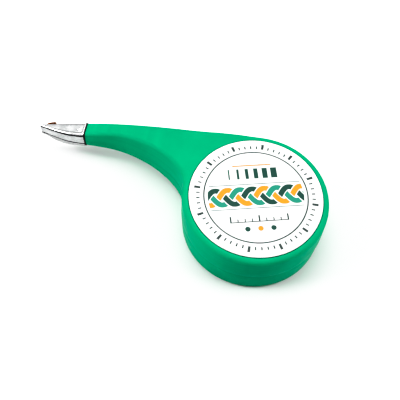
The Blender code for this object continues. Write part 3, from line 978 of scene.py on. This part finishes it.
class Recipe:
    """A material's node tree, written as expressions on sockets or numbers."""

    def __init__(self, name):
        self.material = bpy.data.materials.new(name)
        self.material.use_nodes = True
        self.tree = self.material.node_tree
        self.shader = self.tree.nodes["Principled BSDF"]
        place = self.node("ShaderNodeTexCoord").outputs["Object"]
        scaled = self.node("ShaderNodeVectorMath", operation="SCALE")
        self.tree.links.new(place, scaled.inputs[0])
        scaled.inputs["Scale"].default_value = 1 / MM
        self.place = scaled.outputs[0]

    def node(self, kind, **settings):
        made = self.tree.nodes.new(kind)
        for key, value in settings.items():
            setattr(made, key, value)
        return made

    def join(self, value, socket):
        if isinstance(value, bpy.types.NodeSocket):
            self.tree.links.new(value, socket)
        elif socket.type == "RGBA":
            socket.default_value = (*value, 1.0)
        else:
            socket.default_value = value

    def math(self, operation, *values):
        made = self.node("ShaderNodeMath", operation=operation)
        for value, socket in zip(values, made.inputs):
            self.join(value, socket)
        return made.outputs[0]

    def axes(self):
        split = self.node("ShaderNodeSeparateXYZ")
        self.join(self.place, split.inputs[0])
        return split.outputs[0], split.outputs[1], split.outputs[2]

    def stretched(self, x, y, z):
        made = self.node("ShaderNodeVectorMath", operation="MULTIPLY")
        self.join(self.place, made.inputs[0])
        made.inputs[1].default_value = (x, y, z)
        return made.outputs[0]

    def noise(self, scale, detail=2.0, place=None):
        made = self.node("ShaderNodeTexNoise")
        self.join(place or self.place, made.inputs["Vector"])
        made.inputs["Scale"].default_value = scale
        made.inputs["Detail"].default_value = detail
        return made.outputs["Fac"]

    def ramp(self, value, low, high, to_low=0.0, to_high=1.0):
        """Value between two limits, moved onto another range and held there."""
        made = self.node("ShaderNodeMapRange", interpolation_type="SMOOTHSTEP")
        for number, socket in zip((value, low, high, to_low, to_high), made.inputs):
            self.join(number, socket)
        return made.outputs[0]

    def near(self, value, middle, half):
        """One within half of the middle, with a soft edge, and zero beyond."""
        off = self.math("ABSOLUTE", self.math("SUBTRACT", value, middle))
        return self.ramp(off, half - INK_EDGE, half + INK_EDGE, 1.0, 0.0)

    def mix(self, share, a, b):
        made = self.node("ShaderNodeMix", data_type="RGBA")
        self.join(share, made.inputs[0])
        self.join(a, made.inputs[6])
        self.join(b, made.inputs[7])
        return made.outputs[2]

    def bump(self, height, distance, strength):
        made = self.node("ShaderNodeBump")
        made.inputs["Strength"].default_value = strength
        made.inputs["Distance"].default_value = distance * MM
        self.join(height, made.inputs["Height"])
        return made.outputs[0]

    def set(self, **values):
        names = {
            "colour": "Base Color", "roughness": "Roughness", "metallic": "Metallic", "normal": "Normal",
            "specular": "Specular IOR Level",
        }
        for key, value in values.items():
            self.join(value, self.shader.inputs[names[key]])
        return self.material


def green_plastic():
    r = Recipe("green_moulded_plastic")
    flow = r.noise(0.09, 3.0)
    cloud = r.noise(0.5, 2.0)
    rings = r.noise(1.0, 3.0, r.stretched(0.02, 0.02, 1.9))
    body = r.mix(r.ramp(flow, 0.35, 0.65), *GREENS)
    body = r.mix(r.ramp(cloud, 0.4, 0.75, 0.0, 0.12), body, CLOUDY_GREEN)
    body = r.mix(r.ramp(rings, 0.35, 0.65, 0.0, 0.3), body, DRAWN_GREEN)
    scratch = r.noise(1.0, 2.0, r.stretched(0.12, 4.5, 2.0))
    worn = r.ramp(scratch, 0.62, 0.74)
    rough = r.math("ADD", r.ramp(cloud, 0.3, 0.7, 0.3, 0.38), r.math("MULTIPLY", worn, 0.1))
    peel = r.noise(2.2, 2.0)
    grain = r.noise(11.0, 3.0)
    height = r.math("ADD", r.math("MULTIPLY", peel, 0.8), r.math("MULTIPLY", grain, 0.2))
    height = r.math("ADD", height, rings)
    return r.set(colour=body, roughness=rough, specular=0.02, normal=r.bump(height, 0.03, 0.35))


def label_paper():
    """White coated paper with a plain print: ring, dial ticks, plaited band, bars, stripe, ruler and dots."""
    r = Recipe("label_printed_paper")
    x, y, _ = r.axes()
    fibre = r.noise(2.0, 4.0)
    paper = r.mix(r.ramp(fibre, 0.3, 0.7), *PAPERS)
    radius = r.math("SQRT", r.math("ADD", r.math("MULTIPLY", x, x), r.math("MULTIPLY", y, y)))
    cos, sin = math.cos(PRINT_TURN), math.sin(PRINT_TURN)
    u = r.math("ADD", r.math("MULTIPLY", x, cos), r.math("MULTIPLY", y, sin))
    v = r.math("SUBTRACT", r.math("MULTIPLY", y, cos), r.math("MULTIPLY", x, sin))
    ink = r.mix(r.near(radius, RING_RADIUS, RING_HALF), paper, GREY_INK)
    ink = r.mix(dial_ticks(r, x, y, radius), ink, GREY_INK)
    disc = r.ramp(radius, *DISC_EDGE, 1.0, 0.0)
    for strand, colour in zip(plait(r, u, v), (AMBER_INK, DARK_INK, MID_INK)):
        ink = r.mix(r.math("MULTIPLY", strand, disc), ink, colour)
    for place in BORDER_PLACES:
        ink = r.mix(r.math("MULTIPLY", r.near(v, place, BORDER_HALF), disc), ink, DARK_INK)
    ink = r.mix(bars(r, u, v), ink, DARK_INK)
    stripe = r.math("MULTIPLY", r.near(v, STRIPE_PLACE, STRIPE_HALF), r.near(u, 0.0, STRIPE_REACH))
    ink = r.mix(stripe, ink, AMBER_INK)
    ink = r.mix(ruler(r, u, v), ink, GREY_INK)
    for place in DOT_PLACES:
        away = r.math("SQRT", r.math("ADD", square(r, u, place), square(r, v, DOT_HEIGHT)))
        ink = r.mix(r.near(away, 0.0, DOT_RADIUS), ink, AMBER_INK if place == 0.0 else DARK_INK)
    return r.set(colour=ink, roughness=0.42, specular=0.35, normal=r.bump(fibre, 0.01, 0.3))


def square(r, value, middle):
    off = r.math("SUBTRACT", value, middle)
    return r.math("MULTIPLY", off, off)


def bars(r, u, v):
    """Row of upright bars, each wider than the one before."""
    drawn = 0.0
    for i in range(BAR_COUNT):
        across = r.near(u, BAR_START + BAR_STEP * i, BAR_HALF + BAR_WIDER * i)
        drawn = r.math("MAXIMUM", drawn, r.math("MULTIPLY", across, r.near(v, BAR_PLACE, BAR_REACH)))
    return drawn


def dial_ticks(r, x, y, radius):
    """Ticks all round the label's margin, every fifth one longer and thicker."""
    turn = r.math("MULTIPLY", r.math("ARCTAN2", y, x), TICK_COUNT / math.tau)
    turn = r.math("ADD", turn, TICK_COUNT)
    nearest = r.math("ROUND", turn)
    off = r.math("MULTIPLY", r.math("SUBTRACT", turn, nearest), math.tau * RING_RADIUS / TICK_COUNT)
    fifth = r.math("LESS_THAN", r.math("PINGPONG", nearest, TICK_LONG_EVERY / 2), TICK_MATCH)
    wide = r.math("ADD", TICK_HALF, r.math("MULTIPLY", fifth, TICK_WIDER))
    line = r.math("LESS_THAN", r.math("ABSOLUTE", off), wide)
    top = r.math("ADD", TICK_FOOT + TICK_LENGTH, r.math("MULTIPLY", fifth, TICK_LONGER))
    length = r.math("MULTIPLY", r.math("GREATER_THAN", radius, TICK_FOOT), r.math("LESS_THAN", radius, top))
    return r.math("MULTIPLY", line, length)


def plait(r, u, v):
    """Ink of each strand of a plait of three, with a blank margin where one passes over another."""
    bodies = []
    scores = []
    for i in range(3):
        t = r.math("ADD", r.math("MULTIPLY", u, math.tau / PLAIT_PERIOD), math.tau * i / 3)
        wave = r.math("MULTIPLY", r.math("SINE", t), PLAIT_REACH)
        slope = r.math("MULTIPLY", r.math("COSINE", t), PLAIT_REACH * math.tau / PLAIT_PERIOD)
        stretch = r.math("SQRT", r.math("ADD", r.math("MULTIPLY", slope, slope), 1.0))
        off = r.math("DIVIDE", r.math("ABSOLUTE", r.math("SUBTRACT", v, wave)), stretch)
        over = r.math("ADD", r.math("SINE", r.math("MULTIPLY", t, 2.0)), 2.0)
        bodies.append(r.ramp(off, PLAIT_HALF - INK_EDGE, PLAIT_HALF + INK_EDGE, 1.0, 0.0))
        scores.append(r.math("MULTIPLY", r.math("LESS_THAN", off, PLAIT_HALF + PLAIT_MARGIN), over))
    top = r.math("MAXIMUM", scores[0], r.math("MAXIMUM", scores[1], scores[2]))
    top = r.math("SUBTRACT", top, PLAIT_TIE)
    shown = [r.math("GREATER_THAN", score, top) for score in scores]
    return [r.math("MULTIPLY", body, on_top) for body, on_top in zip(bodies, shown)]


def ruler(r, u, v):
    """A line with a tick every two millimetres, and a longer one every fourth."""
    along = r.math("ADD", r.math("MULTIPLY", u, 1 / RULER_STEP), RULER_SHIFT)
    nearest = r.math("ROUND", along)
    off = r.math("MULTIPLY", r.math("ABSOLUTE", r.math("SUBTRACT", along, nearest)), RULER_STEP)
    fourth = r.math("LESS_THAN", r.math("PINGPONG", nearest, RULER_LONG_EVERY / 2), TICK_MATCH)
    top = r.math("ADD", RULER_FOOT + RULER_TICK, r.math("MULTIPLY", fourth, RULER_LONGER))
    wide = r.math("ADD", RULER_HALF, r.math("MULTIPLY", fourth, RULER_WIDER))
    tick = r.math("MULTIPLY", r.math("LESS_THAN", off, wide), r.math("LESS_THAN", v, top))
    tick = r.math("MULTIPLY", tick, r.math("GREATER_THAN", v, RULER_FOOT))
    drawn = r.math("MAXIMUM", tick, r.near(v, RULER_FOOT, RULER_LINE_HALF))
    return r.math("MULTIPLY", drawn, r.near(u, 0.0, RULER_REACH))


def chrome_plate():
    return chrome_sheet("tip_plated_plate", *PLATE_GREYS, low_share=1.0)


# Wall plating: a darker copy of the plate's, painting the shade on the tip's sides and tray
def shaded_chrome_wall():
    return chrome_sheet("tip_plated_wall_painted_shade", *WALL_SHADE_GREYS, low_share=0.8)


def chrome_sheet(name, bright, dull, low_share):
    """Bright plated sheet with soft smudges and drawing lines, with painted shade low down and along its far
    edge.
    """
    r = Recipe(name)
    smudge = r.noise(0.4, 1.0)
    drawn = r.noise(1.2, 2.0, r.stretched(0.3, 1.6, 1.6))
    x, y, z = r.axes()
    colour = r.mix(r.ramp(smudge, 0.36, 0.64), bright, dull)
    slope = (ARM_AXIS_Y + TIP_BASE_HALF - TIP_NEAR_Y - TIP_WIDTH) / TIP_LENGTH
    far_line = r.math("ADD", r.math("MULTIPLY", x, slope), ARM_AXIS_Y + TIP_BASE_HALF - TIP_BACK_X * slope)
    inset = r.math("SUBTRACT", far_line, y)
    # Painted shade: greyer towards the far edge
    colour = r.mix(r.ramp(inset, *EDGE_SHADE, EDGE_SHARE, 0.0), colour, EDGE_SHADE_GREY)
    # Painted shade: darker low down towards the seam, keeping low_share of the colour at the bottom
    low = r.ramp(r.math("SUBTRACT", z, TIP_SEAM), *LOW_SHADE, 1 - low_share, 0.0)
    colour = r.mix(low, colour, BLACK)
    rough = r.ramp(drawn, 0.3, 0.7, 0.2, 0.34)
    return r.set(colour=colour, roughness=rough, metallic=1.0, normal=r.bump(drawn, 0.03, 0.08))


# Plating brighter than the plate's, painting the highlight on the tip's rim and bead
def highlight_paint():
    r = Recipe("tip_painted_highlight")
    drawn = r.noise(1.5, 2.0, r.stretched(0.4, 1.5, 1.5))
    colour = r.mix(drawn, *PAINTED_HIGHLIGHT_GREYS)
    return r.set(colour=colour, roughness=r.ramp(drawn, 0.3, 0.7, 0.2, 0.32), metallic=1.0)


# Near-black painted shade with a faint speckle, put where only shade falls on the tip
def crease_shadow():
    r = Recipe("tip_painted_shade")
    shade_speckle = r.noise(5.0, 2.0)
    colour = r.mix(shade_speckle, *PAINTED_SHADE_GREYS)
    return r.set(colour=colour, roughness=0.7, specular=0.1)


def copper_wire():
    r = Recipe("braid_copper_wire")
    tone = r.noise(2.5, 3.0)
    colour = r.mix(r.ramp(tone, 0.3, 0.7), *WIRE_COPPERS)
    rough = r.ramp(tone, 0.3, 0.7, 0.3, 0.45)
    return r.set(colour=colour, roughness=rough, metallic=1.0, normal=r.bump(r.noise(18.0), 0.01, 0.3))


def copper_coil():
    r = Recipe("braid_copper_coil")
    x, y, z = r.axes()
    angle = r.math("ARCTAN2", y, x)
    around = r.math("MULTIPLY", angle, COIL_STITCHES)
    rise = r.math("MULTIPLY", z, STITCH_RISE)
    one = r.math("SINE", r.math("ADD", around, rise))
    two = r.math("SINE", r.math("SUBTRACT", around, rise))
    weave = r.math("MAXIMUM", one, two)
    tone = r.math("ADD", r.math("MULTIPLY", weave, 0.3), r.noise(2.0))
    colour = r.mix(r.ramp(tone, 0.2, 0.9), *COIL_COPPERS)
    return r.set(colour=colour, roughness=0.4, metallic=1.0, normal=r.bump(weave, 0.06, 0.6))


def pale_floor():
    r = Recipe("studio_floor")
    faint = r.noise(0.02, 2.0)
    colour = r.mix(faint, *FLOOR_GREYS)
    return r.set(colour=colour, roughness=0.9, specular=0.0)


def pale_backdrop():
    r = Recipe("studio_backdrop")
    _, _, z = r.axes()
    cloud = r.noise(0.004, 2.0)
    level = r.math("ADD", r.ramp(z, 0.0, BACKDROP_RISE, *BACKDROP_GLOW), r.math("MULTIPLY", cloud, 0.04))
    r.join(level, r.shader.inputs["Emission Strength"])
    r.join(WHITE, r.shader.inputs["Emission Color"])
    return r.set(colour=BLACK, roughness=1.0, specular=0.0)


# Floor, backdrop, lights, world, camera and grade

def make_floor():
    half = FLOOR_HALF
    plan = ((-half, -half), (half, -half), (half, half), (-half, half))
    shape = Shape()
    shape.face(shape.add([(x, y, FLOOR_LEVEL) for x, y in plan]))
    floor = shape.finish("studio_floor", [pale_floor()])


def make_backdrop():
    """Pale round sweep far behind the floor, which only the camera sees, so it lights nothing."""
    shape = Shape()
    rows = []
    for i in range(BACKDROP_STEPS + 1):
        turn = math.pi / 2 * i / BACKDROP_STEPS
        radius = BACKDROP_RADIUS - BACKDROP_SWEEP * (1 - math.sin(turn))
        height = FLOOR_LEVEL + BACKDROP_SWEEP * (1 - math.cos(turn))
        rows.append(shape.add(ring(radius, height, BACKDROP_SIDES)))
    rows.append(shape.add(ring(BACKDROP_RADIUS, BACKDROP_HEIGHT, BACKDROP_SIDES)))
    shape.strip(rows, closed=True)
    shape.face(rows[-1])
    backdrop = shape.finish("studio_backdrop", [pale_backdrop()])
    backdrop.visible_diffuse = False
    backdrop.visible_glossy = False
    backdrop.visible_transmission = False
    backdrop.visible_shadow = False


def make_light(name, place, target, size, power):
    lamp = bpy.data.lights.new(name, "AREA")
    lamp.shape = "DISK"
    lamp.size = size * MM
    lamp.energy = power
    holder = bpy.data.objects.new(name, lamp)
    holder.location = Vector(place) * MM
    holder.rotation_mode = "QUATERNION"
    holder.rotation_quaternion = (Vector(target) - Vector(place)).to_track_quat("-Z", "Y")
    bpy.context.scene.collection.objects.link(holder)


def make_world():
    """Pale dome, bright above and dark towards the horizon, most of all on the camera's side."""
    world = bpy.data.worlds.new("studio")
    world.use_nodes = True
    tree = world.node_tree
    background = tree.nodes["Background"]
    place = tree.nodes.new("ShaderNodeTexCoord")
    split = tree.nodes.new("ShaderNodeSeparateXYZ")
    tree.links.new(place.outputs["Generated"], split.inputs[0])

    def shade(source, numbers):
        made = tree.nodes.new("ShaderNodeMapRange")
        tree.links.new(source, made.inputs[0])
        for value, socket in zip(numbers, list(made.inputs)[1:5]):
            socket.default_value = value
        return made.outputs[0]

    product = tree.nodes.new("ShaderNodeMath")
    product.operation = "MULTIPLY"
    tree.links.new(shade(split.outputs[2], (*SKY_RISE, HORIZON, ZENITH)), product.inputs[0])
    tree.links.new(shade(split.outputs[1], (*SKY_SIDE, CAMERA_SIDE, 1.0)), product.inputs[1])
    tree.links.new(product.outputs[0], background.inputs["Strength"])
    background.inputs["Color"].default_value = (*WHITE, 1.0)
    bpy.context.scene.world = world


def make_camera():
    """Camera of the photograph, found by fitting the case's outline and heights."""
    data = bpy.data.cameras.new("photo_camera")
    data.sensor_width = SENSOR_WIDTH
    data.lens = FOCAL_LENGTH / PICTURE_WIDTH * SENSOR_WIDTH
    data.clip_start = 0.01
    data.clip_end = 10.0
    camera = bpy.data.objects.new("photo_camera", data)
    turn = Matrix.Rotation(math.radians(CAMERA_TURN), 3, "Z")
    tilt = Matrix.Rotation(math.radians(90 - CAMERA_PITCH), 3, "X")
    roll = Matrix.Rotation(math.radians(CAMERA_ROLL), 3, "Z")
    heading = (turn @ tilt @ roll).to_quaternion()
    camera.matrix_world = Matrix.LocRotScale(Vector(CAMERA_PLACE) * MM, heading, None)
    bpy.context.scene.collection.objects.link(camera)
    bpy.context.scene.camera = camera


def make_grade():
    """Mild rise in saturation and contrast, as product photographs are printed."""
    scene = bpy.context.scene
    scene.use_nodes = True
    tree = scene.node_tree
    tree.nodes.clear()
    layers = tree.nodes.new("CompositorNodeRLayers")
    grade = tree.nodes.new("CompositorNodeHueSat")
    grade.inputs["Saturation"].default_value = SATURATION
    contrast = tree.nodes.new("CompositorNodeCurveRGB")
    contrast.mapping.tone = "FILMLIKE"
    curve = contrast.mapping.curves[3]
    for level, printed in CONTRAST:
        curve.points.new(level, printed)
    contrast.mapping.update()
    output = tree.nodes.new("CompositorNodeComposite")
    tree.links.new(layers.outputs["Image"], grade.inputs["Image"])
    tree.links.new(grade.outputs["Image"], contrast.inputs["Image"])
    tree.links.new(contrast.outputs["Image"], output.inputs["Image"])


def make_studio():
    make_camera()
    make_grade()
    make_world()
    make_floor()
    make_backdrop()
    make_light("key", place=(-50, 60, 480), target=(-20, 0, 0), size=340, power=1.2)
    make_light("left", place=(-300, -60, 230), target=(-40, 15, 0), size=190, power=1.1)
    make_light("right", place=(370, 40, 240), target=(0, 0, 0), size=300, power=1.35)
    bpy.context.scene.view_settings.view_transform = "Standard"


make_studio()
make_case(green_plastic())
make_label(label_paper())
make_tip([chrome_plate(), crease_shadow(), highlight_paint(), shaded_chrome_wall()])
make_braid(copper_wire())
make_coil(copper_coil())
